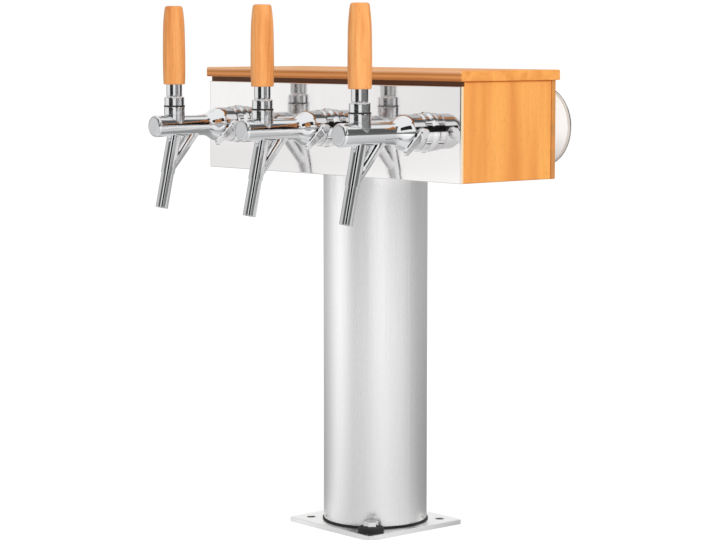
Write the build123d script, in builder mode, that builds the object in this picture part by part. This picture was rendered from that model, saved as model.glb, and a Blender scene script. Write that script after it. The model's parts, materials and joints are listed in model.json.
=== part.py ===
from build123d import *

import os
from math import cos, radians, sin

os.makedirs("parts", exist_ok=True)

# Beer tower: a round column on a square base carries a long head box with three
# compensator taps in front and three round medallions behind.
# Origin: centre of the base plate's underside, on the column's axis. +X runs along the
# head, -Y is the tap side, +Y the guests' side, +Z is up. Sizes are in millimetres.

# Base and column
column_r = 52.0
column_wall = 2.0
base_side = 124.0
base_thick = 5.0
base_corner_r = 3.0
base_hole_r = 4.5
base_hole_offset = 46.0
base_passage_r = 36.0
clamp_circle_r = 42.0
clamp_hole_r = 2.5
weld_leg = 4.0

# Head box
head_length = 381.0
front_y = -63.0
back_y = 60.5
head_bottom = 355.0
wall_top = 444.2
head_top = 448.7
board_thick = 9.8
board_length = 386.0
board_depth = 129.0
board_middle_y = -0.5
step_setback = 3.0
sheet = 1.5
return_depth = 3.0
end_panel_thick = 10.0
back_board_thick = 6.0
joint_gap = 0.2
head_passage_r = 40.0
flange_thick = 6.0
flange_screw_circle_r = 45.0

# Taps, measured as a distance out from the head's front face
tap_spacing = 141.8
tap_z = 401.0
barrel_r = 10.5
barrel_bore_r = 7.5
barrel_end = 96.0
housing_r = 17.0
handle_reach = 80.2
pivot_z = 416.0
dome_r = 11.0
ring_r = 10.0
ferrule_r = 8.0
ferrule_top = 442.2
grip_top = 520.0
finger_reach = 11.0
finger_r = 1.7
finger_ball_r = 2.7
finger_flat_r = 0.9
handle_swing = 35.0
spout_r = 6.25
spout_wall = 1.0
spout_start = (87.4, 362.0)
spout_end = (97.0, 319.5)
regulator_reach = 19.0
shank_r = 8.0

# Medallions on the guests' side
medallion_z = 403.0
medallion_r = 39.0
medallion_depth = 32.0

# Hoses and leads
hose_r = 4.75
hose_bore_r = 3.25
lead_r = 1.5
line_foot = 2.0

running = 0.03
clear = 0.3
handle_y = front_y - handle_reach
tap_xs = [-tap_spacing, 0.0, tap_spacing]


def save(piece, name):
    """Labels a finished piece and writes it under its name."""
    piece.part.label = name
    export_step(piece.part, f"parts/{name}.step")


def tap_plane(x):
    """Side plane through a tap's axis: first axis out from the wall, second axis up."""
    return Plane(origin=(x, front_y, 0), x_dir=(0, -1, 0), z_dir=(-1, 0, 0))


def tap_axis(x):
    """The tap's own axis, out from the wall."""
    return Axis((x, front_y, tap_z), (0, -1, 0))


def handle_plane(x):
    """Upright plane through a handle's axis: first axis along the head, second up."""
    return Plane(origin=(x, handle_y, 0), x_dir=(1, 0, 0), z_dir=(0, -1, 0))


def handle_axis(x):
    """The handle's upright axis."""
    return Axis((x, handle_y, 0), (0, 0, 1))


def medallion_plane(x):
    """Side plane through a medallion's axis: first axis out from the back, second up."""
    return Plane(origin=(x, back_y, 0), x_dir=(0, 1, 0), z_dir=(1, 0, 0))


def medallion_axis(x):
    """A medallion's own axis, out from the back."""
    return Axis((x, back_y, medallion_z), (0, 1, 0))


def side_plane(x, reach, z):
    """Plane facing along +X at a point given by its distance from the wall."""
    return Plane(origin=(x, front_y - reach, z), x_dir=(0, 1, 0), z_dir=(1, 0, 0))


def leaning_plane(x, start, end):
    """Plane at start, facing end; both are distance from the wall and height."""
    direction = (0, start[0] - end[0], end[1] - start[1])
    return Plane(origin=(x, front_y - start[0], start[1]), x_dir=(1, 0, 0), z_dir=direction)


def distance(start, end):
    """Length between two points of a side plane."""
    return ((end[0] - start[0]) ** 2 + (end[1] - start[1]) ** 2) ** 0.5


# Base plate, column and what joins the column to the head
column_foot = base_thick
clamp_spots = PolarLocations(clamp_circle_r, 4, start_angle=45)
corner_spots = GridLocations(2 * base_hole_offset, 2 * base_hole_offset, 2, 2)

with BuildPart() as base_plate:
    with BuildSketch():
        RectangleRounded(base_side, base_side, base_corner_r)
        Circle(base_passage_r, mode=Mode.SUBTRACT)
        with corner_spots:
            Circle(base_hole_r, mode=Mode.SUBTRACT)
        with clamp_spots:
            Circle(clamp_hole_r, mode=Mode.SUBTRACT)
    extrude(amount=base_thick)
    chamfer(base_plate.faces().sort_by(Axis.Z)[-1].outer_wire().edges(), 0.6)
save(base_plate, "base_plate")

with BuildPart() as column_tube:
    with BuildSketch(Plane.XY.offset(column_foot)):
        Circle(column_r)
        Circle(column_r - column_wall, mode=Mode.SUBTRACT)
    extrude(amount=head_bottom - column_foot)
save(column_tube, "column_tube")

weld_r = column_r - column_wall
with BuildPart() as column_weld:
    with BuildSketch(Plane.XZ):
        Polygon(
            (weld_r, column_foot),
            (weld_r - weld_leg, column_foot),
            (weld_r, column_foot + weld_leg),
            align=None,
        )
    revolve(axis=Axis.Z)
save(column_weld, "column_weld")

screw_core_r = 2.1
with BuildPart() as column_flange:
    with BuildSketch(Plane.XY.offset(head_bottom - flange_thick)):
        Circle(column_r - column_wall)
        Circle(head_passage_r, mode=Mode.SUBTRACT)
        with PolarLocations(flange_screw_circle_r, 4, start_angle=45):
            Circle(screw_core_r, mode=Mode.SUBTRACT)
    extrude(amount=flange_thick)
save(column_flange, "column_flange")

flange_screw_head_r = 4.5
flange_screw_head = 3.0
with BuildPart() as flange_screws:
    with BuildSketch(Plane.XY.offset(head_bottom - flange_thick)):
        with PolarLocations(flange_screw_circle_r, 4, start_angle=45):
            Circle(screw_core_r - running)
    extrude(amount=flange_thick + sheet)
    with BuildSketch(Plane.XY.offset(head_bottom + sheet)):
        with PolarLocations(flange_screw_circle_r, 4, start_angle=45):
            Circle(flange_screw_head_r)
    extrude(amount=flange_screw_head)
    with BuildSketch(Plane.XY.offset(head_bottom + sheet + flange_screw_head)):
        with PolarLocations(flange_screw_circle_r, 4, start_angle=45):
            RegularPolygon(2.0, 6)
    extrude(amount=-1.6, mode=Mode.SUBTRACT)
save(flange_screws, "flange_screws")

# Bolt and washer in the near corner hole
bolt_spot = (base_hole_offset, -base_hole_offset)
washer_r = 12.9
washer_thick = 5.0
bolt_head_flats = 13.0
bolt_head = 5.5
bolt_r = 4.0
washer_top = base_thick + washer_thick

with BuildPart() as base_washer:
    with BuildSketch(Plane.XY.offset(base_thick)):
        with Locations(bolt_spot):
            Circle(washer_r)
            Circle(bolt_r + 0.3, mode=Mode.SUBTRACT)
    extrude(amount=washer_thick)
    fillet(base_washer.edges().group_by(Axis.Z)[-1].sort_by(SortBy.RADIUS)[-1], 1.2)
save(base_washer, "base_washer")

with BuildPart() as base_bolt:
    with BuildSketch(Plane.XY.offset(0.4)):
        with Locations(bolt_spot):
            Circle(bolt_r)
    extrude(amount=washer_top - 0.4)
    with BuildSketch(Plane.XY.offset(washer_top)):
        with Locations(bolt_spot):
            RegularPolygon(bolt_head_flats / 2, 6, major_radius=False)
    extrude(amount=bolt_head)
    chamfer(base_bolt.edges().group_by(Axis.Z)[-1], 0.5)
save(base_bolt, "base_bolt")

# Head shell: one folded sheet. The front wall turns in at both ends and along its top
# edge, and the floor turns up at the back and at both ends to hold the wooden panels.
inner_end = head_length / 2 - end_panel_thick
inner_back = back_y - back_board_thick
front_inside = front_y + sheet
top_flange_depth = 16.0
upstand_height = 20.0
bend_r = 2.0
shank_hole_r = shank_r + 0.2
top_screw_xs = [-150.0, -72.0, 72.0, 150.0]
back_screw_xs = [-150.0, -60.0, 60.0, 150.0]
end_screw_ys = [-30.0, 30.0]
top_screw_y = front_y + 10.0
screw_z = head_bottom + 12.0
wood_screw_r = 1.75

with BuildPart() as head_shell:
    with BuildSketch(Plane.XY.offset(head_bottom)):
        with Locations((0, front_y + return_depth / 2)):
            Rectangle(head_length, return_depth)
        with Locations((0, front_inside + return_depth / 2)):
            Rectangle(head_length - 2 * sheet, return_depth, mode=Mode.SUBTRACT)
    extrude(amount=wall_top - head_bottom)
    with BuildSketch(Plane.XY.offset(head_bottom)):
        with Locations((0, (front_y + inner_back) / 2)):
            Rectangle(2 * inner_end, inner_back - front_y)
        Circle(head_passage_r, mode=Mode.SUBTRACT)
        with PolarLocations(flange_screw_circle_r, 4, start_angle=45):
            Circle(2.75, mode=Mode.SUBTRACT)
    extrude(amount=sheet)
    with BuildSketch(Plane.XY.offset(wall_top)):
        with Locations((0, front_y + top_flange_depth / 2)):
            Rectangle(2 * inner_end, top_flange_depth)
        with Locations(*[(x, top_screw_y) for x in top_screw_xs]):
            Circle(wood_screw_r + clear, mode=Mode.SUBTRACT)
    extrude(amount=-sheet)
    with BuildSketch(Plane.XY.offset(head_bottom)):
        with Locations((0, inner_back - sheet / 2)):
            Rectangle(2 * inner_end, sheet)
        with Locations((-inner_end + sheet / 2, 0), (inner_end - sheet / 2, 0)):
            Rectangle(sheet, 2 * inner_back - 8.0)
    extrude(amount=upstand_height)
    with BuildSketch(Plane.XZ.offset(-front_y)):
        with Locations(*[(x, tap_z) for x in tap_xs]):
            Circle(shank_hole_r)
    extrude(amount=-sheet, mode=Mode.SUBTRACT)
    with BuildSketch(Plane.XZ.offset(-inner_back)):
        with Locations(*[(x, screw_z) for x in back_screw_xs]):
            Circle(wood_screw_r + clear)
    extrude(amount=sheet, mode=Mode.SUBTRACT)
    with BuildSketch(Plane.YZ.offset(-inner_end)):
        with Locations(*[(y, screw_z) for y in end_screw_ys]):
            Circle(wood_screw_r + clear)
    extrude(amount=2 * inner_end, mode=Mode.SUBTRACT)
    outer_bends = head_shell.edges().filter_by(Axis.Z).group_by(Axis.Y)[0]
    fillet(outer_bends, bend_r)
    fillet(head_shell.faces().sort_by(Axis.Y)[0].edges().filter_by(Axis.X), 1.0)
save(head_shell, "head_shell")

# Wooden panels and top plate. The panels reach up to the plate's underside, round its step.
panel_round = 1.5
panel_height = head_top - head_bottom
panel_middle_z = (head_bottom + head_top) / 2
end_width = inner_back - front_y - return_depth - joint_gap
end_middle = inner_back - joint_gap - end_width / 2

for side, name in ((-1, "end_panel_left"), (1, "end_panel_right")):
    with BuildPart() as end_panel:
        with BuildSketch(Plane.YZ.offset(side * inner_end)):
            with Locations((end_middle, panel_middle_z)):
                Rectangle(end_width, panel_height)
        extrude(amount=side * end_panel_thick)
        fillet(end_panel.faces().sort_by(Axis((0, 0, 0), (side, 0, 0)))[-1].edges(), panel_round)
        with BuildSketch(Plane.YZ.offset(side * inner_end)):
            with Locations(*[(y, screw_z) for y in end_screw_ys]):
                Circle(wood_screw_r + running)
        extrude(amount=side * 7.0, mode=Mode.SUBTRACT)
    save(end_panel, name)

stud_r = 5.0
with BuildPart() as back_board:
    with BuildSketch(Plane.XZ.offset(-inner_back)):
        with Locations((0, panel_middle_z)):
            Rectangle(head_length, panel_height)
        with Locations(*[(x, medallion_z) for x in tap_xs]):
            Circle(stud_r + 0.2, mode=Mode.SUBTRACT)
    extrude(amount=-back_board_thick)
    fillet(back_board.faces().sort_by(Axis.Y)[-1].outer_wire().edges(), panel_round)
    with BuildSketch(Plane.XZ.offset(-inner_back)):
        with Locations(*[(x, screw_z) for x in back_screw_xs]):
            Circle(wood_screw_r + running)
    extrude(amount=-4.5, mode=Mode.SUBTRACT)
save(back_board, "back_board")

step_front = front_y + step_setback
step_back = inner_back - joint_gap
with BuildPart() as top_plate:
    with BuildSketch(Plane.XY.offset(head_top)):
        with Locations((0, board_middle_y)):
            RectangleRounded(board_length, board_depth, 2.0)
    extrude(amount=board_thick)
    fillet(top_plate.faces().sort_by(Axis.Z)[-1].edges(), 1.5)
    fillet(top_plate.faces().sort_by(Axis.Z)[0].edges(), 0.8)
    with BuildSketch(Plane.XY.offset(wall_top)):
        with Locations((0, (step_front + step_back) / 2)):
            Rectangle(2 * (inner_end - joint_gap), step_back - step_front)
    extrude(amount=head_top - wall_top)
    with BuildSketch(Plane.XY.offset(wall_top)):
        with Locations(*[(x, top_screw_y) for x in top_screw_xs]):
            Circle(wood_screw_r + running)
    extrude(amount=10.0, mode=Mode.SUBTRACT)
save(top_plate, "top_plate")

screw_head_r = 3.5
screw_head = 2.0
with BuildPart() as top_screws:
    with BuildSketch(Plane.XY.offset(wall_top - sheet - screw_head)):
        with Locations(*[(x, top_screw_y) for x in top_screw_xs]):
            Circle(screw_head_r)
    extrude(amount=screw_head)
    with BuildSketch(Plane.XY.offset(wall_top - sheet)):
        with Locations(*[(x, top_screw_y) for x in top_screw_xs]):
            Circle(wood_screw_r)
    extrude(amount=sheet + 9.0)
save(top_screws, "top_screws")

with BuildPart() as panel_screws:
    for side in (-1, 1):
        with BuildSketch(Plane.YZ.offset(side * (inner_end - sheet - screw_head))):
            with Locations(*[(y, screw_z) for y in end_screw_ys]):
                Circle(screw_head_r)
        extrude(amount=side * screw_head)
        with BuildSketch(Plane.YZ.offset(side * (inner_end - sheet))):
            with Locations(*[(y, screw_z) for y in end_screw_ys]):
                Circle(wood_screw_r)
        extrude(amount=side * (sheet + 6.0))
    with BuildSketch(Plane.XZ.offset(-inner_back + sheet + screw_head)):
        with Locations(*[(x, screw_z) for x in back_screw_xs]):
            Circle(screw_head_r)
    extrude(amount=-screw_head)
    with BuildSketch(Plane.XZ.offset(-inner_back + sheet)):
        with Locations(*[(x, screw_z) for x in back_screw_xs]):
            Circle(wood_screw_r)
    extrude(amount=-(sheet + 4.0))
save(panel_screws, "panel_screws")

# Fittings that hold the taps on the wall, three of each
flange_edge = 4.0
nut_start = 4.2
nut_end = 11.5
tail_flange = (7.3, 9.4)
shank_tail = -34.0
shank_shoulder = -20.0

with BuildPart() as wall_flanges:
    for x in tap_xs:
        with BuildSketch(tap_plane(x)):
            with Locations((0, tap_z)):
                Polygon(
                    (0, shank_r + 0.1),
                    (0, 19.0),
                    (1.5, 19.0),
                    (flange_edge, 16.5),
                    (flange_edge, shank_r + 0.1),
                    align=None,
                )
        revolve(axis=tap_axis(x))
save(wall_flanges, "wall_flanges")

with BuildPart() as shanks:
    for x in tap_xs:
        with BuildSketch(tap_plane(x)):
            with Locations((0, tap_z)):
                Polygon(
                    (shank_tail, 2.2),
                    (shank_tail, hose_bore_r - 0.3),
                    (shank_tail + 1.0, hose_bore_r - 0.05),
                    (shank_shoulder, hose_bore_r - 0.05),
                    (shank_shoulder, shank_r),
                    (tail_flange[0] - 0.1, shank_r),
                    (tail_flange[0] - 0.1, 4.0),
                    (shank_shoulder + 4.0, 4.0),
                    (shank_shoulder + 2.0, 2.2),
                    align=None,
                )
        revolve(axis=tap_axis(x))
save(shanks, "shanks")

with BuildPart() as shank_nuts:
    for x in tap_xs:
        with BuildSketch(Plane(origin=(x, front_inside, tap_z), x_dir=(1, 0, 0), z_dir=(0, 1, 0))):
            RegularPolygon(12.0, 6, major_radius=False)
            Circle(shank_r + 0.05, mode=Mode.SUBTRACT)
        extrude(amount=6.0)
save(shank_nuts, "shank_nuts")

with BuildPart() as coupling_nuts:
    for x in tap_xs:
        with BuildSketch(tap_plane(x)):
            with Locations((0, tap_z)):
                Polygon(
                    (nut_start, shank_r + 0.05),
                    (nut_start, 16.8),
                    (nut_start + 1.2, 18.0),
                    (nut_end - 1.2, 18.0),
                    (nut_end, 16.8),
                    (nut_end, 7.1),
                    (tail_flange[1] + 0.1, 7.1),
                    (tail_flange[1] + 0.1, 9.9),
                    (tail_flange[0] - 0.1, 9.9),
                    (tail_flange[0] - 0.1, shank_r + 0.05),
                    align=None,
                )
        revolve(axis=tap_axis(x))
        with BuildSketch(Plane(origin=(x, front_y - nut_start, tap_z), z_dir=(0, -1, 0))):
            with PolarLocations(18.6, 6):
                Circle(2.4)
        extrude(amount=nut_end - nut_start, mode=Mode.SUBTRACT)
save(coupling_nuts, "coupling_nuts")

cap_r = 10.9
cap_face = 106.0
cap_bottom = 101.4
with BuildPart() as front_caps:
    for x in tap_xs:
        with BuildSketch(tap_plane(x)):
            with Locations((0, tap_z)):
                Polygon(
                    (cap_face, 0),
                    (cap_bottom, 0),
                    (cap_bottom, 9.05),
                    (barrel_end + 0.15, 9.05),
                    (barrel_end + 0.15, cap_r),
                    (cap_face, cap_r),
                    align=None,
                )
        revolve(axis=tap_axis(x))
    fillet(front_caps.edges().group_by(Axis.Y)[0], 3.0)
save(front_caps, "front_caps")

# One tap: the outlet neck runs from the barrel's underside to the leaning spout
neck_start = (55.0, 397.8)
neck_end = (87.6, 357.9)
neck_r = 7.2
neck_taper = 2.0
socket_r = 6.95
socket_top = (80.6, 392.0)
socket_foot = (89.2, 354.0)
neck_bore_start = (56.9, 395.5)
neck_bore_r = 3.8
chamber_r = 10.0
boss_top = 411.6
boss_upstand = 413.6
shaft_r = 2.5
regulator_seat = housing_r + 0.2
eccentric = 3.0
eccentric_r = 1.2
eccentric_play = 0.4
stem_r = 3.0
slot_half = stem_r + 0.4
finger_slot_back = 8.6
finger_slot_front = 3.2
pin_r = 1.5
hub_half = 5.0

pivot_pins = BuildPart()
with pivot_pins:
    for x in tap_xs:
        with BuildSketch(side_plane(x - 10.2, handle_reach, pivot_z)):
            Circle(pin_r)
        extrude(amount=20.4)
save(pivot_pins, "pivot_pins")

for number, x in enumerate(tap_xs, start=1):
    with BuildPart() as tap_body:
        with BuildSketch(tap_plane(x)):
            with BuildLine():
                Polyline(
                    (46.0, tap_z + barrel_r),
                    (barrel_end, tap_z + barrel_r),
                    (barrel_end, tap_z + 9.0),
                    (barrel_end + 5.0, tap_z + 9.0),
                    (barrel_end + 5.0, tap_z),
                    (tail_flange[0], tap_z),
                    (tail_flange[0], tap_z + 9.7),
                    (tail_flange[1], tap_z + 9.7),
                    (tail_flange[1], tap_z + 7.0),
                    (11.8, tap_z + 7.0),
                    (11.8, tap_z + housing_r - 1.5),
                    (13.3, tap_z + housing_r),
                    (25.5, tap_z + housing_r),
                )
                Bezier(
                    (25.5, tap_z + housing_r),
                    (34.0, tap_z + housing_r),
                    (36.0, tap_z + barrel_r),
                    (46.0, tap_z + barrel_r),
                )
            make_face()
        revolve(axis=tap_axis(x))
        with BuildSketch(Plane(origin=(x, handle_y, tap_z))):
            Circle(barrel_r - 0.2)
        extrude(amount=boss_top - tap_z)
        with BuildSketch(Plane(origin=(x, handle_y, boss_top))):
            Circle(8.6)
        extrude(amount=boss_upstand - boss_top)
        with BuildSketch(leaning_plane(x, neck_start, neck_end)):
            Circle(neck_r)
        extrude(amount=distance(neck_start, neck_end), taper=neck_taper)
        with BuildSketch(leaning_plane(x, socket_top, socket_foot)):
            Circle(socket_r)
        extrude(amount=distance(socket_top, socket_foot))
        with BuildSketch(side_plane(x, regulator_reach, tap_z)):
            Circle(5.3)
        extrude(amount=regulator_seat)
        # Bores: regulator chamber, seat, barrel, handle opening, neck and spout socket
        with BuildSketch(tap_plane(x)):
            with Locations((0, tap_z)):
                Polygon(
                    (tail_flange[0], 0),
                    (tail_flange[0], 4.0),
                    (14.3, 4.0),
                    (14.3, chamber_r),
                    (31.0, chamber_r),
                    (32.5, 8.0),
                    (46.0, 8.0),
                    (46.0, 5.0),
                    (49.5, 5.0),
                    (49.5, barrel_bore_r),
                    (barrel_end + 5.0, barrel_bore_r),
                    (barrel_end + 5.0, 0),
                    align=None,
                )
        revolve(axis=tap_axis(x), mode=Mode.SUBTRACT)
        with BuildSketch(Plane(origin=(x, handle_y, boss_upstand))):
            Circle(7.0)
        extrude(amount=411.0 - boss_upstand, mode=Mode.SUBTRACT)
        with BuildSketch(Plane(origin=(x, front_y, tap_z))):
            with Locations((0, -handle_reach + (finger_slot_back - finger_slot_front) / 2)):
                Rectangle(2 * slot_half, finger_slot_back + finger_slot_front)
        extrude(amount=411.5 - tap_z, mode=Mode.SUBTRACT)
        with BuildSketch(leaning_plane(x, neck_bore_start, neck_end)):
            Circle(neck_bore_r)
        extrude(amount=distance(neck_bore_start, neck_end), mode=Mode.SUBTRACT)
        with BuildSketch(leaning_plane(x, spout_start, spout_end)):
            Circle(spout_r + running)
        extrude(amount=distance(spout_start, spout_end), mode=Mode.SUBTRACT)
        with BuildSketch(side_plane(x, regulator_reach, tap_z)):
            Circle(shaft_r + 0.05)
        extrude(amount=regulator_seat, mode=Mode.SUBTRACT)
    save(tap_body, f"tap_{number}_body")

    with BuildPart() as spout:
        with BuildSketch(leaning_plane(x, spout_start, spout_end)):
            Circle(spout_r)
            Circle(spout_r - spout_wall, mode=Mode.SUBTRACT)
        extrude(amount=distance(spout_start, spout_end))
        fillet(spout.edges().group_by(Axis.Z)[0], 0.35)
    save(spout, f"tap_{number}_spout")

    with BuildPart() as bonnet:
        dome_foot = pivot_z + (dome_r**2 - barrel_r**2) ** 0.5
        cavity_r = 8.7
        half = radians(45)
        with BuildSketch(handle_plane(x)):
            with BuildLine():
                Polyline(
                    (0, pivot_z + cavity_r),
                    (0, pivot_z + dome_r),
                )
                ThreePointArc(
                    (0, pivot_z + dome_r),
                    (dome_r * sin(half), pivot_z + dome_r * cos(half)),
                    (barrel_r, dome_foot),
                )
                Polyline(
                    (barrel_r, dome_foot),
                    (barrel_r, boss_top + 0.6),
                    (barrel_r - 0.6, boss_top),
                    (cavity_r, boss_top),
                    (cavity_r, pivot_z),
                )
                ThreePointArc(
                    (cavity_r, pivot_z),
                    (cavity_r * sin(half), pivot_z + cavity_r * cos(half)),
                    (0, pivot_z + cavity_r),
                )
            make_face()
        revolve(axis=handle_axis(x))
        # Slot for the handle's stem, from upright to fully open
        swing = radians(handle_swing)
        slot_length = 14.0
        edge_foot = (slot_half * cos(swing), -slot_half * sin(swing))
        edge_tip = (
            edge_foot[0] + slot_length * sin(swing),
            edge_foot[1] + slot_length * cos(swing),
        )
        with BuildSketch(tap_plane(x)):
            with Locations((handle_reach, pivot_z)):
                Polygon(
                    (-slot_half, 0),
                    (-slot_half, slot_length),
                    (edge_tip[0], slot_length),
                    edge_tip,
                    edge_foot,
                    align=None,
                )
        extrude(amount=slot_half, both=True, mode=Mode.SUBTRACT)
        with BuildSketch(side_plane(x, handle_reach, pivot_z)):
            Circle(pin_r + 0.02)
        extrude(amount=2 * barrel_r, both=True, mode=Mode.SUBTRACT)
    save(bonnet, f"tap_{number}_bonnet")

    with BuildPart() as lever:
        bell_r = dome_r + clear
        bell_foot = pivot_z + (bell_r**2 - ring_r**2) ** 0.5
        with BuildSketch(handle_plane(x)):
            with BuildLine():
                Polyline(
                    (ring_r, bell_foot),
                    (ring_r, 428.6),
                )
                ThreePointArc((ring_r, 428.6), (ring_r - 0.41, 429.59), (ring_r - 1.4, 430.0))
                Polyline(
                    (ring_r - 1.4, 430.0),
                    (ferrule_r - 0.5, 430.4),
                    (ferrule_r, 431.2),
                    (ferrule_r, ferrule_top),
                    (3.9, ferrule_top),
                    (3.9, ferrule_top + 19.0),
                    (3.0, ferrule_top + 20.0),
                    (0, ferrule_top + 20.0),
                    (0, pivot_z + bell_r),
                )
                ThreePointArc(
                    (0, pivot_z + bell_r),
                    (bell_r * sin(radians(30)), pivot_z + bell_r * cos(radians(30))),
                    (ring_r, bell_foot),
                )
            make_face()
        revolve(axis=handle_axis(x))
        with BuildSketch(Plane(origin=(x, handle_y, pivot_z))):
            Circle(stem_r)
        extrude(amount=bell_r + 1.0)
        with BuildSketch(side_plane(x - hub_half, handle_reach, pivot_z)):
            Circle(4.0)
        extrude(amount=2 * hub_half)
        ball_z = pivot_z - finger_reach
        ball_foot = ball_z - (finger_ball_r**2 - finger_flat_r**2) ** 0.5
        ball_neck = ball_z + (finger_ball_r**2 - finger_r**2) ** 0.5
        with BuildSketch(handle_plane(x)):
            with BuildLine():
                Polyline(
                    (finger_r, ball_neck),
                    (finger_r, pivot_z),
                    (0, pivot_z),
                    (0, ball_foot),
                    (finger_flat_r, ball_foot),
                )
                ThreePointArc(
                    (finger_flat_r, ball_foot), (finger_ball_r, ball_z), (finger_r, ball_neck)
                )
            make_face()
        revolve(axis=handle_axis(x))
        with BuildSketch(side_plane(x - hub_half, handle_reach, pivot_z)):
            Circle(pin_r + running)
        extrude(amount=2 * hub_half, mode=Mode.SUBTRACT)
    save(lever, f"tap_{number}_lever")

    with BuildPart() as grip:
        with BuildSketch(handle_plane(x)):
            with BuildLine():
                Polyline(
                    (0, grip_top),
                    (0, ferrule_top + 21.0),
                    (4.0, ferrule_top + 21.0),
                    (4.0, ferrule_top),
                    (9.8, ferrule_top),
                )
                ThreePointArc((9.8, ferrule_top), (10.5, 442.5), (10.8, 443.2))
                Spline(
                    (10.8, 443.2),
                    (11.2, 464.0),
                    (11.0, 485.0),
                    (10.3, 506.0),
                    (9.0, 517.2),
                )
                ThreePointArc((9.0, 517.2), (8.25, 519.15), (6.4, grip_top))
                Polyline((6.4, grip_top), (0, grip_top))
            make_face()
        revolve(axis=handle_axis(x))
    save(grip, f"tap_{number}_grip")

    with BuildPart() as plunger:
        with BuildSketch(tap_plane(x)):
            with Locations((0, tap_z)):
                Polygon(
                    (40.5, 0),
                    (40.5, 5.2),
                    (41.5, 6.3),
                    (44.0, 6.3),
                    (44.0, 4.4),
                    (45.6, 4.4),
                    (45.6, 3.0),
                    (68.3, 3.0),
                    (69.0, 7.2),
                    (69.9, 7.2),
                    (69.9, 5.6),
                    (71.5, 5.6),
                    (71.5, 7.2),
                    (90.0, 7.2),
                    (90.0, 5.6),
                    (92.0, 5.6),
                    (92.0, 7.2),
                    (95.0, 7.2),
                    (96.0, 6.4),
                    (96.0, 0),
                    align=None,
                )
        revolve(axis=tap_axis(x))
        pocket_half = finger_ball_r + 0.45
        pocket_floor = pivot_z - finger_reach - finger_ball_r - 0.6
        with BuildSketch(Plane(origin=(x, handle_y, pocket_floor))):
            Rectangle(2 * pocket_half, 2 * pocket_half)
        extrude(amount=10.0, mode=Mode.SUBTRACT)
    save(plunger, f"tap_{number}_plunger")

    with BuildPart() as seals:
        for near, far, inner, outer in (
            (44.0, 45.6, 4.4, 6.6),
            (69.9, 71.5, 5.6, barrel_bore_r - 0.05),
            (90.0, 92.0, 5.6, barrel_bore_r - 0.05),
        ):
            with BuildSketch(tap_plane(x)):
                with Locations(((near + far) / 2, tap_z + (inner + outer) / 2)):
                    RectangleRounded(far - near, outer - inner, 0.6)
            revolve(axis=tap_axis(x))
    save(seals, f"tap_{number}_seals")

    with BuildPart() as regulator_lever:
        arm_tip = (21.5, -17.0)
        with BuildSketch(side_plane(x + regulator_seat + clear + 0.7, regulator_reach, tap_z)):
            Circle(4.6)
            with Locations((-arm_tip[0], arm_tip[1])):
                Circle(2.9)
            make_hull()
        extrude(amount=2.8)
        chamfer(regulator_lever.faces().sort_by(Axis.X)[-1].edges(), 0.7)
        with BuildSketch(side_plane(x + regulator_seat + clear, regulator_reach, tap_z)):
            Circle(5.0)
        extrude(amount=4.4)
        chamfer(regulator_lever.faces().sort_by(Axis.X)[-1].edges(), 0.8)
        with BuildSketch(side_plane(x + 8.3, regulator_reach, tap_z)):
            Circle(shaft_r)
        extrude(amount=regulator_seat + clear - 8.3)
        with BuildSketch(side_plane(x + 6.3, regulator_reach, tap_z)):
            Circle(4.4)
        extrude(amount=2.0)
        with BuildSketch(side_plane(x + 2.2, regulator_reach, tap_z + eccentric)):
            Circle(eccentric_r)
        extrude(amount=4.1)
    save(regulator_lever, f"tap_{number}_regulator_lever")

    with BuildPart() as regulator_cone:
        cone_flange = (25.9, 28.2)
        with BuildSketch(tap_plane(x)):
            with Locations((0, tap_z)):
                Polygon(
                    (13.8, 0),
                    (13.8, 1.2),
                    (16.6, 3.2),
                    (16.6, 5.5),
                    (cone_flange[0], 5.5),
                    (cone_flange[0], 9.6),
                    (cone_flange[1], 9.6),
                    (cone_flange[1], 0),
                    align=None,
                )
        revolve(axis=tap_axis(x))
        with BuildSketch(Plane(origin=(x, front_y - regulator_reach, tap_z + 0.2))):
            with Locations((3.8, 0)):
                Rectangle(6.0, 2 * (eccentric_r + eccentric_play))
        extrude(amount=8.0, mode=Mode.SUBTRACT)
        with BuildSketch(Plane(origin=(x, front_y - cone_flange[1], tap_z), z_dir=(0, 1, 0))):
            with PolarLocations(8.4, 4, start_angle=45):
                Circle(2.2)
        extrude(amount=cone_flange[1] - cone_flange[0], mode=Mode.SUBTRACT)
    save(regulator_cone, f"tap_{number}_regulator_cone")

# Medallions: a drum bolted through the back board, lit from inside
drum_r = 38.2
lens_r = 36.2
lens_seat = 27.0
rim_start = 27.0

with BuildPart() as medallion_housings:
    for x in tap_xs:
        with BuildSketch(medallion_plane(x)):
            with Locations((0, medallion_z)):
                Polygon(
                    (0, 2.5),
                    (0, drum_r),
                    (rim_start, drum_r),
                    (rim_start, drum_r - 2.2),
                    (2.0, drum_r - 2.2),
                    (2.0, 2.5),
                    align=None,
                )
                Polygon(
                    (-18.0, 2.5),
                    (-18.0, stud_r),
                    (0, stud_r),
                    (0, 2.5),
                    align=None,
                )
        revolve(axis=medallion_axis(x))
save(medallion_housings, "medallion_housings")

with BuildPart() as medallion_rims:
    for x in tap_xs:
        with BuildSketch(medallion_plane(x)):
            with Locations((0, medallion_z)):
                Polygon(
                    (rim_start, drum_r - 1.8),
                    (rim_start, medallion_r - 0.5),
                    (rim_start + 0.5, medallion_r),
                    (medallion_depth - 1.0, medallion_r),
                    (medallion_depth, medallion_r - 1.0),
                    (medallion_depth, medallion_r - 3.0),
                    (lens_seat + 2.6, 35.0),
                    (lens_seat + 2.6, drum_r - 1.8),
                    align=None,
                )
        revolve(axis=medallion_axis(x))
save(medallion_rims, "medallion_rims")

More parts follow.
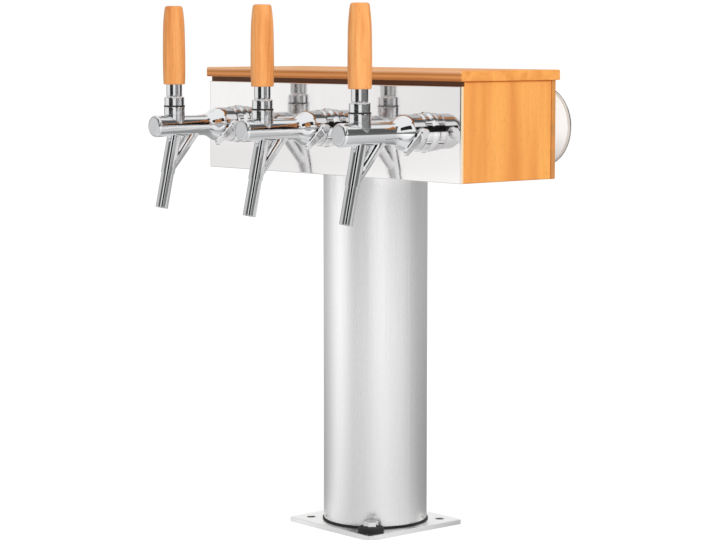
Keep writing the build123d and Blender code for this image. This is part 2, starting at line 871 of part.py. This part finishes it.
with BuildPart() as medallion_lenses:
    for x in tap_xs:
        with BuildSketch(medallion_plane(x)):
            with Locations((lens_seat, medallion_z)):
                Polygon((0, 0), (0, lens_r), (2.5, lens_r), (2.5, 0), align=None)
        revolve(axis=medallion_axis(x))
save(medallion_lenses, "medallion_lenses")

board_front = 3.6
led_circle_r = 20.0
led_half = 2.5
with BuildPart() as medallion_light_boards:
    for x in tap_xs:
        with BuildSketch(Plane.XZ.offset(-(back_y + 2.0))):
            with Locations((x, medallion_z)):
                Circle(30.0)
        extrude(amount=-(board_front - 2.0))
        with BuildSketch(Plane.XZ.offset(-(back_y + board_front))):
            with Locations((x, medallion_z)):
                with PolarLocations(led_circle_r, 6):
                    Rectangle(2 * led_half, 2 * led_half)
        extrude(amount=-1.5)
save(medallion_light_boards, "medallion_light_boards")

with BuildPart() as medallion_nuts:
    for x in tap_xs:
        with BuildSketch(Plane.XZ.offset(-inner_back)):
            with Locations((x, medallion_z)):
                RegularPolygon(7.5, 6, major_radius=False)
                Circle(stud_r + 0.05, mode=Mode.SUBTRACT)
        extrude(amount=5.0)
save(medallion_nuts, "medallion_nuts")

# Beer hoses and light leads, held inside the head and the column down to the base
hose_y = 8.0
hose_x = 22.0
hose_start = front_y - shank_shoulder + 0.3
lead_start = back_y + 2.0

for number, x in enumerate(tap_xs, start=1):
    side = (x > 0) - (x < 0)
    start = Vector(x, hose_start, tap_z)
    if side:
        corners = [(x, hose_y, tap_z), (side * hose_x, hose_y, tap_z)]
        foot = (side * hose_x, hose_y, line_foot)
        bends = [20.0, 40.0]
    else:
        corners = [(0, 18.0, tap_z)]
        foot = (0, 18.0, line_foot)
        bends = [25.0]
    with BuildPart() as beer_hose:
        with BuildLine():
            FilletPolyline(start, *corners, foot, radius=bends)
        with BuildSketch(Plane(origin=start, z_dir=(0, 1, 0))):
            Circle(hose_r)
            Circle(hose_bore_r, mode=Mode.SUBTRACT)
        sweep()
    save(beer_hose, f"beer_hose_{number}")

with BuildPart() as light_leads:
    for x in tap_xs:
        side = (x > 0) - (x < 0)
        start = Vector(x, lead_start, medallion_z)
        if side:
            corners = [(x, 29.0, medallion_z), (side * 10.0, 29.0, medallion_z)]
            foot = (side * 10.0, 29.0, line_foot)
            bends = [12.0, 20.0]
        else:
            corners = [(0, 31.0, medallion_z)]
            foot = (0, 31.0, line_foot)
            bends = [12.0]
        with BuildLine():
            FilletPolyline(start, *corners, foot, radius=bends)
        with BuildSketch(Plane(origin=start, z_dir=(0, -1, 0))):
            Circle(lead_r)
        sweep()
save(light_leads, "light_leads")
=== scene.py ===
import json
from math import cos, pi, radians, sin

import bpy
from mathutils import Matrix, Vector


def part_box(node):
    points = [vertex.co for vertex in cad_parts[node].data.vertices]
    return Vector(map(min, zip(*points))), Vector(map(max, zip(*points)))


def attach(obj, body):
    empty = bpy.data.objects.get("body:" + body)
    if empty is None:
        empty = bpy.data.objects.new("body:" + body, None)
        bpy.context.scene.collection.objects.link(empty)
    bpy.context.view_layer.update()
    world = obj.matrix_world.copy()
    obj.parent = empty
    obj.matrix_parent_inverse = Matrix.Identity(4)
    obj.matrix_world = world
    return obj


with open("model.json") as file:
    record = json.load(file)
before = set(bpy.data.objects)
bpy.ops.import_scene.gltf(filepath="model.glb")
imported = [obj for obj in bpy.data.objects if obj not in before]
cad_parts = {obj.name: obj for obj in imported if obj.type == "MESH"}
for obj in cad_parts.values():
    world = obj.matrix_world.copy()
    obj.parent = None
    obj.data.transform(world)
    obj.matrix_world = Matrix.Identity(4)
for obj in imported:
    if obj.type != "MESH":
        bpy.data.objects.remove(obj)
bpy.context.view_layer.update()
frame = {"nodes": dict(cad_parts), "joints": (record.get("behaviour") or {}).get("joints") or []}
nodes = frame["nodes"]

# Camera: where the photograph was taken from, in degrees and metres
photo_azimuth = 49.234
photo_elevation = 5.876
photo_distance = 2.2482
photo_lens = 112.88
aim_height = 0.25716
aim_left = 0.0175

# Places that looks and pieces share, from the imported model
base_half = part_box("base_plate")[1][0]
column_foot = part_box("base_plate")[1][2]
column_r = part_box("column_tube")[1][0]
board_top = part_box("top_plate")[1][2]
board_thick = 0.0098
board_bottom = board_top - board_thick
wall_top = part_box("head_shell")[1][2]
rim_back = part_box("medallion_rims")[1][1]
panel_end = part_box("end_panel_right")[1][0]
# The caps are round and as high as wide, so their box gives the taps' height and spacing
cap_low, cap_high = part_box("front_caps")
cap_middle = (cap_low[2] + cap_high[2]) / 2
tap_pitch = cap_high[0] - (cap_high[2] - cap_low[2]) / 2

# Narrow zones with a look of their own, measured in from an end or a face
skin = 0.0001
# Width of the wall sheet's painted highlight at each end
sheet_edge = 0.0005
dark_end_width = 0.0016
rim_lip = 0.0024


# ---------------------------------------------------------------- node helpers


def new_material(name):
    """A material with its node tree and its principled shader."""
    material = bpy.data.materials.new(name)
    material.use_nodes = True
    tree = material.node_tree
    return material, tree, tree.nodes["Principled BSDF"]


def bare_material(name):
    """A material with an empty node tree."""
    material = bpy.data.materials.new(name)
    material.use_nodes = True
    tree = material.node_tree
    tree.nodes.clear()
    return material, tree


def add(tree, kind, inputs=None, **settings):
    """A new node. Inputs are numbers, colours or sockets to link, keyed by name or index."""
    made = tree.nodes.new(kind)
    for key, value in settings.items():
        setattr(made, key, value)
    for key, value in (inputs or {}).items():
        if isinstance(value, bpy.types.NodeSocket):
            tree.links.new(value, made.inputs[key])
        else:
            made.inputs[key].default_value = value
    return made


def place(tree, scale=(1, 1, 1)):
    """Object coordinates, stretched."""
    source = add(tree, "ShaderNodeTexCoord").outputs["Object"]
    mapped = add(tree, "ShaderNodeMapping", {"Vector": source, "Scale": scale})
    return mapped.outputs["Vector"]


def coordinate(tree, axis):
    """One of the object's own coordinates, in metres."""
    source = add(tree, "ShaderNodeTexCoord").outputs["Object"]
    return add(tree, "ShaderNodeSeparateXYZ", {0: source}).outputs[axis]


def facing(tree, axis):
    """How far the surface faces along an axis, from -1 to 1."""
    normal = add(tree, "ShaderNodeTexCoord").outputs["Normal"]
    return add(tree, "ShaderNodeSeparateXYZ", {0: normal}).outputs[axis]


def noise(tree, vector, scale, detail=3.0, roughness=0.55, distortion=0.0):
    """Noise from 0 to 1, about 0.5."""
    made = add(
        tree,
        "ShaderNodeTexNoise",
        {
            "Vector": vector,
            "Scale": scale,
            "Detail": detail,
            "Roughness": roughness,
            "Distortion": distortion,
        },
    )
    return made.outputs[0]


def spread(tree, value, low, high, start=0.0, end=1.0):
    """A value carried from start..end to low..high."""
    made = add(
        tree,
        "ShaderNodeMapRange",
        {"Value": value, "From Min": start, "From Max": end, "To Min": low, "To Max": high},
    )
    return made.outputs["Result"]


def maths(tree, operation, first, second=0.0):
    """One operation on one or two values."""
    return add(tree, "ShaderNodeMath", {0: first, 1: second}, operation=operation).outputs[0]


def ramp(tree, value, stops):
    """A colour picked along (position, colour) stops."""
    made = add(tree, "ShaderNodeValToRGB", {"Fac": value})
    elements = made.color_ramp.elements
    while len(elements) < len(stops):
        elements.new(0.5)
    for element, (position, colour) in zip(elements, stops):
        element.position = position
        element.color = (*colour, 1.0)
    return made.outputs["Color"]


def mix(tree, share, first, second):
    """Two colours mixed, by the second one's share."""
    first = (*first, 1.0) if isinstance(first, tuple) else first
    second = (*second, 1.0) if isinstance(second, tuple) else second
    made = add(tree, "ShaderNodeMix", {"Factor": share, 6: first, 7: second}, data_type="RGBA")
    return made.outputs[2]


def bump(tree, shader, height, strength, depth):
    """A bump of the given depth in metres under the shader."""
    made = add(
        tree, "ShaderNodeBump", {"Height": height, "Strength": strength, "Distance": depth}
    )
    tree.links.new(made.outputs["Normal"], shader.inputs["Normal"])


def use(tree, shader, **values):
    """Sets or links the shader's sockets; underscores in the names are spaces."""
    for key, value in values.items():
        socket = shader.inputs[key.replace("_", " ")]
        if isinstance(value, bpy.types.NodeSocket):
            tree.links.new(value, socket)
        elif isinstance(value, tuple):
            socket.default_value = (*value, 1.0)
        else:
            socket.default_value = value


def shade(tone, share):
    """A tone dimmed to a share of itself."""
    return tuple(share * part for part in tone)


# ------------------------------------------------------------------- materials


def steel(name, tone, grain, low, high, groove):
    """Satin steel: fine lines along one axis over faint clouds, roughness from low to high."""
    material, tree, shader = new_material(name)
    lines = noise(tree, place(tree, grain), 1.0, 4.0, 0.7)
    clouds = noise(tree, place(tree), 9.0, 2.0)
    dark = shade(tone, 0.975)
    colour = mix(tree, spread(tree, lines, 0.2, 0.8), dark, tone)
    colour = mix(tree, spread(tree, clouds, 0.0, 0.15, 0.35, 0.65), colour, dark)
    use(tree, shader, Metallic=1.0, Base_Color=colour)
    use(tree, shader, Roughness=spread(tree, lines, low, high, 0.3, 0.7))
    bump(tree, shader, lines, 0.16, groove)
    return material


def mirror_sheet(name, tone, edge):
    """Polished sheet that wavers slightly; at both ends its edge is painted a pale, non-metallic
    cream, a painted highlight.
    """
    material, tree, shader = new_material(name)
    waves = noise(tree, place(tree, (1, 1, 0.6)), 11.0, 1.0, 0.4)
    haze = noise(tree, place(tree, (3, 3, 1)), 40.0, 3.0, 0.6)
    colour = mix(tree, spread(tree, haze, 0.0, 0.5), tone, shade(tone, 0.95))
    reach = maths(tree, "ABSOLUTE", coordinate(tree, "X"))
    # Painted highlight: the last of the sheet at each end turns non-metallic cream
    metal = maths(tree, "LESS_THAN", reach, panel_end - sheet_edge)
    use(tree, shader, Metallic=metal, Base_Color=mix(tree, metal, edge, colour))
    use(tree, shader, Roughness=spread(tree, haze, 0.03, 0.09, 0.3, 0.7))
    bump(tree, shader, waves, 0.25, 0.0012)
    return material


def chrome(name, tone):
    """Chrome plate over a cast and turned surface."""
    material, tree, shader = new_material(name)
    casting = noise(tree, place(tree), 140.0, 2.0, 0.5)
    wiped = noise(tree, place(tree, (1, 1, 2)), 320.0, 3.0, 0.6)
    colour = mix(tree, spread(tree, wiped, 0.0, 0.35), tone, shade(tone, 0.92))
    use(tree, shader, Metallic=1.0, Base_Color=colour)
    use(tree, shader, Roughness=spread(tree, wiped, 0.035, 0.085, 0.35, 0.65))
    bump(tree, shader, casting, 0.15, 0.0002)
    return material


def turned_face(name, tone, face):
    """Caps on the ends of the barrels: chrome whose flat face is turned in fine, duller rings."""
    material, tree, shader = new_material(name)
    across = add(
        tree,
        "ShaderNodeMath",
        {0: coordinate(tree, "X"), 1: tap_pitch / 2, 2: -tap_pitch / 2},
        operation="WRAP",
    ).outputs[0]
    up = maths(tree, "SUBTRACT", coordinate(tree, "Z"), cap_middle)
    spoke = add(tree, "ShaderNodeCombineXYZ", {0: across, 2: up}).outputs[0]
    radius = add(tree, "ShaderNodeVectorMath", {0: spoke}, operation="LENGTH").outputs["Value"]
    rings = noise(tree, add(tree, "ShaderNodeCombineXYZ", {0: radius}).outputs[0], 900.0, 3.0)
    colour = mix(tree, spread(tree, rings, 0.0, 1.0, 0.3, 0.7), face, shade(face, 0.8))
    flat_part = spread(tree, maths(tree, "ABSOLUTE", facing(tree, "Y")), 0.0, 1.0, 0.7, 0.9)
    use(tree, shader, Metallic=1.0, Base_Color=mix(tree, flat_part, tone, colour))
    use(tree, shader, Roughness=spread(tree, rings, 0.06, 0.14, 0.3, 0.7))
    bump(tree, shader, rings, 0.3, 0.00003)
    return material


def two_tone_rim(name, front, back):
    """Medallion rim: pale next to the drum, darker polished steel round its face."""
    material, tree, shader = new_material(name)
    haze = noise(tree, place(tree), 60.0, 3.0)
    outer = maths(tree, "GREATER_THAN", coordinate(tree, "Y"), rim_back - rim_lip)
    dark = mix(tree, spread(tree, haze, 0.0, 0.5), back, shade(back, 0.8))
    metal = spread(tree, outer, 0.0, 0.8)
    use(tree, shader, Metallic=metal, Base_Color=mix(tree, outer, front, dark))
    use(tree, shader, Roughness=spread(tree, haze, 0.12, 0.22, 0.3, 0.7))
    bump(tree, shader, haze, 0.1, 0.0002)
    return material


def wood(name, along, tones, width, coat, recolour=None):
    """Beech: soft bands of about the given width, fibres and flecks along "X" or "Z"."""
    light, middle, dark = tones
    material, tree, shader = new_material(name)
    squeeze = {"X": (0.06, 1, 1), "Z": (1, 1, 0.06)}[along]
    short = {"X": (0.22, 1, 1), "Z": (1, 1, 0.22)}[along]
    bands = noise(tree, place(tree, squeeze), 1 / width, 2.0, 0.6, 0.6)
    fibres = noise(tree, place(tree, squeeze), 520.0, 4.0, 0.7)
    flecks = noise(tree, place(tree, short), 1100.0, 1.0, 0.4)
    colour = ramp(tree, bands, ((0.32, dark), (0.48, middle), (0.64, light)))
    colour = mix(tree, spread(tree, fibres, 0.0, 0.4, 0.42, 0.72), colour, dark)
    fleck = spread(tree, flecks, 0.0, 0.45, 0.66, 0.74)
    colour = mix(tree, fleck, colour, shade(dark, 0.75))
    # Painted shade and a painted highlight come in here for the top plate and the end panels, and a
    # darker cut end for the back board
    if recolour:
        colour = recolour(tree, colour, bands)
    use(tree, shader, Base_Color=colour, Coat_Weight=coat, Coat_Roughness=0.3)
    use(tree, shader, Specular_IOR_Level=0.3)
    use(tree, shader, Roughness=spread(tree, fibres, 0.42, 0.6, 0.3, 0.7))
    bump(tree, shader, fibres, 0.25, 0.00012)
    return material


def edge_layers_and_painted_shade(tree, colour, bands):
    """The top plate's front and back edges in layers with painted shade and a painted highlight,
    and its narrow step in painted shade.
    """
    height = coordinate(tree, "Z")
    waver = spread(tree, bands, -0.0005, 0.0005, 0.3, 0.7)
    wavy = maths(tree, "ADD", height, waver)
    depth = spread(tree, wavy, 1.0, 0.0, board_bottom, board_top)
    layers = ramp(tree, depth, board_layers_and_painted_shade)
    # Painted shade and highlight: the long edges take the layered colours, darker overall than the
    # lit ends and pale at the rounded top
    long_edge = spread(tree, maths(tree, "ABSOLUTE", facing(tree, "Y")), 0.0, 1.0, 0.5, 0.8)
    colour = mix(tree, long_edge, colour, mix(tree, 0.85, colour, layers))
    # Painted shade: below the board's bottom, the step is painted dark brown in place of the shade
    # of the recess
    below = maths(tree, "LESS_THAN", height, board_bottom - skin)
    return mix(tree, below, colour, step_painted_shade)


def front_painted_shade(tree, colour, _bands):
    """The end panels' front faces above the steel wall, in the same painted shade as the step
    beside them.
    """
    above = maths(tree, "GREATER_THAN", coordinate(tree, "Z"), wall_top - skin)
    front = maths(tree, "LESS_THAN", facing(tree, "Y"), -0.4)
    return mix(tree, maths(tree, "MULTIPLY", above, front), colour, step_painted_shade)


def banded_edge(tree, colour, bands):
    """The back board's ends, darker tan brown towards the cut edge."""
    reach = maths(tree, "ABSOLUTE", coordinate(tree, "X"))
    toward_end = spread(tree, reach, 0.0, 0.9, panel_end - dark_end_width, panel_end)
    return mix(tree, toward_end, colour, mix(tree, bands, edge_tan, beech[2]))


def plastic(name, tone, low, high, grain, depth, coat=0.0):
    """Moulded plastic or rubber with a fine surface grain, roughness from low to high."""
    material, tree, shader = new_material(name)
    fine = noise(tree, place(tree), grain, 3.0)
    clouds = noise(tree, place(tree), 25.0, 2.0)
    colour = mix(tree, spread(tree, clouds, 0.0, 1.0, 0.3, 0.7), tone, shade(tone, 0.93))
    use(tree, shader, Base_Color=colour, Coat_Weight=coat, Coat_Roughness=0.1)
    use(tree, shader, Roughness=spread(tree, fine, low, high, 0.3, 0.7))
    bump(tree, shader, fine, 0.3, depth)
    return material


def clear_hose(name, tone):
    """Translucent tube with a milky wall."""
    material, tree, shader = new_material(name)
    clouds = noise(tree, place(tree), 60.0, 2.0)
    colour = mix(tree, clouds, tone, shade(tone, 0.9))
    use(tree, shader, Base_Color=colour, Transmission_Weight=0.55, IOR=1.5)
    use(tree, shader, Roughness=spread(tree, clouds, 0.2, 0.35))
    return material


# Wood tones: light, middle and dark
beech = ((0.95, 0.43, 0.10), (0.89, 0.365, 0.082), (0.80, 0.295, 0.06))
grip_beech = ((0.98, 0.46, 0.15), (0.92, 0.38, 0.11), (0.74, 0.26, 0.06))
# Painted shade: dark brown for the step under the top plate and the end panels' fronts beside it,
# in place of the shade of the recess
step_painted_shade = (0.125, 0.04, 0.006)
edge_tan = (0.36, 0.21, 0.08)
# Layers of the top plate's long edges, from its top downwards: wood stripes with painted shade,
# darker overall than the lit ends, and a painted highlight in the palest stops at the rounded top
board_layers_and_painted_shade = (
    (0.00, (0.95, 0.62, 0.42)),
    (0.08, (0.95, 0.60, 0.38)),
    (0.22, (0.85, 0.45, 0.24)),
    (0.34, (0.58, 0.22, 0.06)),
    (0.46, (0.52, 0.18, 0.04)),
    (0.58, (0.80, 0.33, 0.10)),
    (0.70, (0.82, 0.34, 0.11)),
    (0.82, (0.54, 0.18, 0.04)),
    (0.92, (0.50, 0.16, 0.04)),
    (1.00, (0.36, 0.10, 0.02)),
)
column_tone = (0.93, 0.925, 0.925)
plate_tone = (0.97, 0.97, 0.965)
fastener_tone = (0.62, 0.62, 0.64)
# The wall sheet's steel, and the cream of its painted highlight at the ends
wall_tone, wall_edge_highlight = (0.90, 0.88, 0.875), (0.86, 0.68, 0.42)
chrome_tone, cap_face = (0.82, 0.825, 0.835), (0.63, 0.635, 0.645)
rim_front, rim_face = (0.66, 0.62, 0.57), (0.36, 0.32, 0.28)

# Looks by material slot
looks = {
    "brushed_column": steel("brushed_column", column_tone, (1400, 1400, 12), 0.24, 0.30, 1.5e-5),
    "steel_plate": steel("steel_plate", plate_tone, (12, 900, 900), 0.32, 0.42, 3e-5),
    "steel_fastener": steel("steel_fastener", fastener_tone, (300, 300, 300), 0.25, 0.4, 3e-5),
    "polished_steel": mirror_sheet("polished_steel", wall_tone, wall_edge_highlight),
    "chrome": chrome("chrome", chrome_tone),
    "grip_wood": wood("grip_wood", "Z", grip_beech, 0.008, 0.3),
    "black_rubber": plastic("black_rubber", (0.014, 0.014, 0.015), 0.55, 0.75, 1500, 8e-5),
    "seal_rubber": plastic("seal_rubber", (0.02, 0.02, 0.02), 0.4, 0.6, 1800, 4e-5),
    "drum_white": plastic("drum_white", (0.97, 0.95, 0.93), 0.3, 0.45, 500, 2e-5, 0.3),
    "lens_opal": plastic("lens_opal", (0.90, 0.90, 0.88), 0.35, 0.5, 700, 2e-5),
    "board_green": plastic("board_green", (0.03, 0.16, 0.06), 0.25, 0.45, 900, 3e-5),
    "hose_clear": clear_hose("hose_clear", (0.82, 0.85, 0.85)),
    "lead_black": plastic("lead_black", (0.02, 0.02, 0.02), 0.5, 0.65, 1200, 4e-5),
    "valve_plastic": plastic("valve_plastic", (0.82, 0.82, 0.80), 0.35, 0.5, 800, 2e-5),
}
# Nodes with a look of their own; every node in the slot panel_wood is among them
end_wood = wood("end_wood", "Z", beech, 0.024, 0.15, front_painted_shade)
own_looks = {
    "top_plate": wood("board_wood", "X", beech, 0.012, 0.1, edge_layers_and_painted_shade),
    "back_board": wood("back_wood", "X", beech, 0.02, 0.15, banded_edge),
    "end_panel_left": end_wood,
    "end_panel_right": end_wood,
    "front_caps": turned_face("turned_chrome", chrome_tone, cap_face),
    "medallion_rims": two_tone_rim("rim_steel", rim_front, rim_face),
}


def dress(node):
    """Gives a CAD node its own look, or else the look of its slot."""
    for slot in node.material_slots:
        slot.material = own_looks.get(node.name) or looks[slot.material.name.split(".")[0]]


for node in nodes.values():
    dress(node)


# ---------------------------------------------------------------------- pieces


def turned(name, centre, profile, body, look, steps=128):
    """A ring turned from a closed profile of (radius, height), riding on a body."""
    verts = []
    for step in range(steps):
        angle = 2 * pi * step / steps
        for radius, height in profile:
            x, y = centre[0] + radius * cos(angle), centre[1] + radius * sin(angle)
            verts.append((x, y, height))
    count = len(profile)
    faces = []
    for step in range(steps):
        here, there = step * count, (step + 1) % steps * count
        for i in range(count):
            j = (i + 1) % count
            faces.append((here + i, there + i, there + j, here + j))
    mesh = bpy.data.meshes.new(name)
    mesh.from_pydata(verts, [], faces)
    mesh.materials.append(looks[look])
    for face in mesh.polygons:
        face.use_smooth = True
    ring = bpy.data.objects.new(name, mesh)
    bpy.context.scene.collection.objects.link(ring)
    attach(ring, body)


def rounded(inner, outer, low, high, points=6):
    """A closed profile whose outer side is a half round."""
    middle, half = (low + high) / 2, (high - low) / 2
    swell = min(half, outer - inner)
    arc = [
        (outer - swell + swell * cos(a), middle + half * sin(a))
        for a in (radians(-90 + 180 * i / points) for i in range(points + 1))
    ]
    return [(inner, high), (inner, low)] + arc


# Shade ring's outline: radius and height over the pivot; its inner side follows the dome's ball
shade_ring_profile = (
    (0.00985, 0.0054),
    (0.01015, 0.0046),
    (0.01040, 0.0038),
    (0.01050, 0.0039),
    (0.01055, 0.0043),
    (0.01055, 0.0050),
    (0.01040, 0.0054),
)

# Black ring between each handle's bell and its bonnet, sliding on the bonnet's dome: a dark piece
# that paints the shade in the gap between them
for joint in frame["joints"]:
    if joint["name"].endswith("_handle"):
        pivot = joint["pos_m"]
        turned(
            joint["child"].replace("handle", "shade_ring"),
            pivot,
            [(r, pivot[2] + rise) for r, rise in shade_ring_profile],
            joint["child"],
            "seal_rubber",
        )

# Dark bead round the column's foot, a painted shadow: it stands in for the contact shade where the
# column meets the plate
bead_inside = 0.0004
bead_outside = 0.0013
bead_height = 0.0022
turned(
    "column_foot_shadow_bead",
    (0.0, 0.0),
    rounded(
        column_r - bead_inside, column_r + bead_outside, column_foot, column_foot + bead_height
    ),
    "frame",
    "black_rubber",
)

# ----------------------------------------------------------------------- stage

# Light on the object from all round, and the floor's lift to white for the camera
room_light = 0.66
floor_lift = 0.50
floor_half = 40.0
# The floor's dark part under the base plate ends this far inside the plate's edge
dark_inset = 0.001
# How light the studio's walls look in metal, by bearing: 0 is +X and 90 is +Y
studio_levels = (
    (-180, 0.46),
    (-158, 0.61),
    (-128, 0.96),
    (-90, 0.72),
    (-60, 0.78),
    (-22, 0.94),
    (18, 0.77),
    (43, 0.57),
    (62, 0.43),
    (104, 0.33),
    (135, 0.38),
    (180, 0.46),
)
# The same far off and low in the sky: dark in front of the taps, dim on the right, grey behind
far_levels = (
    (-180, 0.45),
    (-158, 0.50),
    (-150, 0.95),
    (-142, 0.92),
    (-136, 0.76),
    (-106, 0.84),
    (-99, 0.02),
    (-57, 0.02),
    (-51, 0.85),
    (-26, 0.85),
    (-18, 0.20),
    (60, 0.16),
    (100, 0.45),
    (180, 0.45),
)
# And higher in the sky, up to a white ceiling: dark in front of the taps and at the back
# right, grey in a gap behind
high_levels = (
    (-180, 0.75),
    (-112, 0.60),
    (-104, 0.12),
    (-72, 0.12),
    (-64, 0.98),
    (30, 0.98),
    (38, 0.12),
    (56, 0.12),
    (64, 0.95),
    (98, 0.95),
    (106, 0.35),
    (124, 0.35),
    (130, 1.00),
    (152, 1.00),
    (180, 0.75),
)
# Elevations in degrees over which low sky turns into high sky, and high sky into ceiling
sky_change = (6, 11)
ceiling_change = (55, 62)
# The floor's tone in metal is multiplied by a gain that rises and then falls with the
# distance from the tower; further out the far tones take over. Distances are in metres.
gain_rise, rise_span = (0.95, 1.32), (0.3, 2.0)
gain_fall, fall_span = (0.0, 0.20), (4.5, 6.5)
far_span = (8.0, 10.0)
# Dark cards for the streaks in the chrome: first and last bearing, bottom, top and tone
card_reach = 2.2
cards = {
    "card_camera": (-56, -30, 0.47, 1.50, 0.01),
    "card_right": (-28, 4, 1.25, 2.50, 0.02),
}


def flat(name, corners):
    """A staged sheet through its corners."""
    mesh = bpy.data.meshes.new(name)
    mesh.from_pydata(corners, [], [tuple(range(len(corners)))])
    sheet = bpy.data.objects.new(name, mesh)
    bpy.context.scene.collection.objects.link(sheet)
    return sheet


def studio_tone(tree, vector, levels):
    """How light the studio looks in metal, by bearing."""
    axes = add(tree, "ShaderNodeSeparateXYZ", {0: vector}).outputs
    bearing = maths(tree, "ARCTAN2", axes["Y"], axes["X"])
    stops = [((degrees + 180) / 360, (tone,) * 3) for degrees, tone in levels]
    return ramp(tree, spread(tree, bearing, 0.0, 1.0, -pi, pi), stops)


def make_floor():
    """Pale paper that takes the shadow; the camera sees it white, metal sees studio tones."""
    corners = [(x * floor_half, y * floor_half, 0) for x, y in ((-1, -1), (1, -1), (1, 1), (-1, 1))]
    floor = flat("floor", corners)
    material, tree = bare_material("floor")
    path = add(tree, "ShaderNodeLightPath").outputs
    grain = noise(tree, place(tree), 3.0, 2.0)
    paper = mix(tree, grain, (0.80, 0.80, 0.80), (0.82, 0.82, 0.82))
    diffuse = add(tree, "ShaderNodeBsdfDiffuse", {"Color": paper})
    # Under the base plate the floor has no lift and no studio tone, so the holes look dark
    x_reach = maths(tree, "ABSOLUTE", coordinate(tree, "X"))
    y_reach = maths(tree, "ABSOLUTE", coordinate(tree, "Y"))
    reach = maths(tree, "MAXIMUM", x_reach, y_reach)
    outside = maths(tree, "GREATER_THAN", reach, base_half - dark_inset)
    lift = maths(tree, "MULTIPLY", outside, floor_lift)
    glow = add(tree, "ShaderNodeEmission", {"Strength": lift})
    both = add(tree, "ShaderNodeAddShader", {0: diffuse.outputs[0], 1: glow.outputs[0]})
    seen = maths(tree, "MAXIMUM", path["Is Camera Ray"], path["Is Transmission Ray"])
    plain = add(tree, "ShaderNodeMixShader", {0: seen, 1: diffuse.outputs[0], 2: both.outputs[0]})
    spot = add(tree, "ShaderNodeTexCoord").outputs["Object"]
    distance = add(tree, "ShaderNodeVectorMath", {0: spot}, operation="LENGTH").outputs["Value"]
    far = spread(tree, distance, 0.0, 1.0, *far_span)
    near_tone = studio_tone(tree, spot, studio_levels)
    tone = mix(tree, far, near_tone, studio_tone(tree, spot, far_levels))
    rise = spread(tree, distance, *gain_rise, *rise_span)
    fall = spread(tree, distance, *gain_fall, *fall_span)
    gain = maths(tree, "MULTIPLY", maths(tree, "SUBTRACT", rise, fall), outside)
    mirrored = add(tree, "ShaderNodeEmission", {"Color": tone, "Strength": gain})
    final = add(
        tree,
        "ShaderNodeMixShader",
        {0: path["Is Glossy Ray"], 1: plain.outputs[0], 2: mirrored.outputs[0]},
    )
    add(tree, "ShaderNodeOutputMaterial", {"Surface": final.outputs[0]})
    floor.data.materials.append(material)


def make_world():
    """White for the camera, an even room light, and studio tones for metal."""
    world = bpy.data.worlds.new("studio")
    bpy.context.scene.world = world
    world.use_nodes = True
    tree = world.node_tree
    background = tree.nodes["Background"]
    path = add(tree, "ShaderNodeLightPath").outputs
    way = add(tree, "ShaderNodeTexCoord").outputs["Generated"]
    rise = add(tree, "ShaderNodeSeparateXYZ", {0: way}).outputs["Z"]
    high, ceiling = (
        spread(tree, rise, 0.0, 1.0, sin(radians(low)), sin(radians(full)))
        for low, full in (sky_change, ceiling_change)
    )
    white = (1.0, 1.0, 1.0)
    tone = mix(tree, high, studio_tone(tree, way, far_levels), studio_tone(tree, way, high_levels))
    tone = mix(tree, ceiling, tone, white)
    tree.links.new(mix(tree, path["Is Glossy Ray"], white, tone), background.inputs["Color"])
    seen = maths(tree, "MAXIMUM", path["Is Camera Ray"], path["Is Glossy Ray"])
    seen = maths(tree, "MAXIMUM", seen, path["Is Transmission Ray"])
    tree.links.new(spread(tree, seen, room_light, 1.0), background.inputs["Strength"])


def bearing_point(bearing, height, reach):
    """A point at a compass bearing seen from above: 0 is +X and 90 is +Y."""
    return Vector((reach * cos(radians(bearing)), reach * sin(radians(bearing)), height))


def make_card(name, start, end, low, high, tone):
    """A card that only reflections see, upright between two bearings."""
    first, last = (bearing_point(bearing, 0, card_reach).xy for bearing in (start, end))
    card = flat(name, [(*first, low), (*last, low), (*last, high), (*first, high)])
    material, tree = bare_material(name)
    glow = add(tree, "ShaderNodeEmission", {"Color": (tone, tone, tone, 1.0)})
    add(tree, "ShaderNodeOutputMaterial", {"Surface": glow.outputs[0]})
    card.data.materials.append(material)
    card.visible_camera = False
    card.visible_diffuse = False
    card.visible_shadow = False
    card.visible_transmission = False


def make_lamp(name, bearing, height, reach, size, power, aim_at=0.3):
    """A soft lamp that faces a point on the column's axis, the given height above the floor."""
    data = bpy.data.lights.new(name, "AREA")
    data.shape = "SQUARE"
    data.size = size
    data.energy = power
    lamp = bpy.data.objects.new(name, data)
    bpy.context.scene.collection.objects.link(lamp)
    lamp.location = bearing_point(bearing, height, reach)
    aim = Vector((0, 0, aim_at)) - lamp.location
    lamp.rotation_euler = aim.to_track_quat("-Z", "Y").to_euler()
    lamp.visible_glossy = False


def make_camera():
    """The photograph's camera."""
    turn, lift = radians(photo_azimuth), radians(photo_elevation)
    back = Vector((sin(turn) * cos(lift), -cos(turn) * cos(lift), sin(lift)))
    left = -Vector((cos(turn), sin(turn), 0))
    data = bpy.data.cameras.new("camera")
    data.sensor_width = 36.0
    data.lens = photo_lens
    camera = bpy.data.objects.new("camera", data)
    bpy.context.scene.collection.objects.link(camera)
    camera.location = Vector((0, 0, aim_height)) + left * aim_left + back * photo_distance
    camera.rotation_euler = (-back).to_track_quat("-Z", "Y").to_euler()
    bpy.context.scene.camera = camera


make_camera()
make_floor()
make_world()
make_lamp("key_lamp", bearing=-22, height=1.9, reach=2.6, size=1.8, power=42)
for card_name, card_values in cards.items():
    make_card(card_name, *card_values)
bpy.context.scene.view_settings.view_transform = "Standard"
